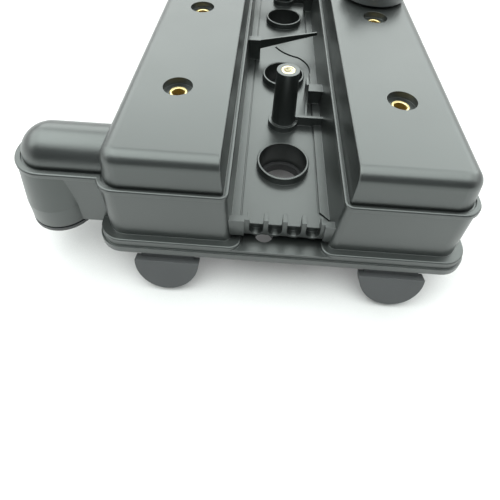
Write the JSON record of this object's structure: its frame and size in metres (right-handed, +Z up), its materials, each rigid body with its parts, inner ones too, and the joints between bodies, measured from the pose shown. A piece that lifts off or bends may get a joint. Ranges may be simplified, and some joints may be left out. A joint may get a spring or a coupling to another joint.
{
  "type": "engine valve cover",
  "caption": "Moulded valve cover for an inline twin-cam engine: two crowned boxes either side of a spark-plug valley, with side breather, lead comb and cam-end half-moon seals.",
  "frame": {"origin": "centre of the eight cover bolts, on the flange's lower face", "axes": "+Z up from the cylinder head, +Y along the crankshaft away from the lead comb, +X across the cover away from the breather"},
  "size_m": [0.2283, 0.3783, 0.1045],
  "materials": {
    "moulded_body": "satin moulded, fine grain",
    "moulded_shell": "satin moulded, fine grain",
    "baffle_plastic": "as moulded",
    "cap_plastic": "as moulded, matte",
    "ring_plastic": "as moulded",
    "gasket_rubber": "matte rubber",
    "seal_rubber": "matte rubber",
    "brass": "turned"
  },
  "bodies": {
    "cover": {"cover_body": "moulded_body", "left_upper_shell": "moulded_shell", "right_upper_shell": "moulded_shell", "left_baffle": "baffle_plastic", "right_baffle": "baffle_plastic", "cover_gasket": "gasket_rubber", "breather_ring": "ring_plastic", "breather_seal": "seal_rubber", "near_post_insert": "brass", "far_post_insert": "brass", "plug_well_seal_1": "seal_rubber", "plug_well_seal_2": "seal_rubber", "plug_well_seal_3": "seal_rubber", "plug_well_seal_4": "seal_rubber", "left_bolt_sleeve_1": "brass", "left_bolt_sleeve_2": "brass", "left_bolt_sleeve_3": "brass", "left_bolt_sleeve_4": "brass", "right_bolt_sleeve_1": "brass", "right_bolt_sleeve_2": "brass", "right_bolt_sleeve_3": "brass", "right_bolt_sleeve_4": "brass"},
    "cap_seal": {"filler_cap_seal": "seal_rubber"},
    "cap": {"filler_cap": "cap_plastic"}
  },
  "joints": [
    {"name": "cap_lift", "type": "slide", "parent": "cover", "child": "cap_seal", "axis": [0, 0, 1], "range_m": [0, 0.012]},
    {"name": "cap_turn", "type": "hinge", "parent": "cap_seal", "child": "cap", "pos_m": [0.0618, -0.0122, 0.06], "axis": [0, 0, 1], "range_deg": [0, 540]}
  ],
  "couplings": [
    {"joint": "cap_lift", "follows": "cap_turn", "m_per_rad": 0.0012732}
  ]
}
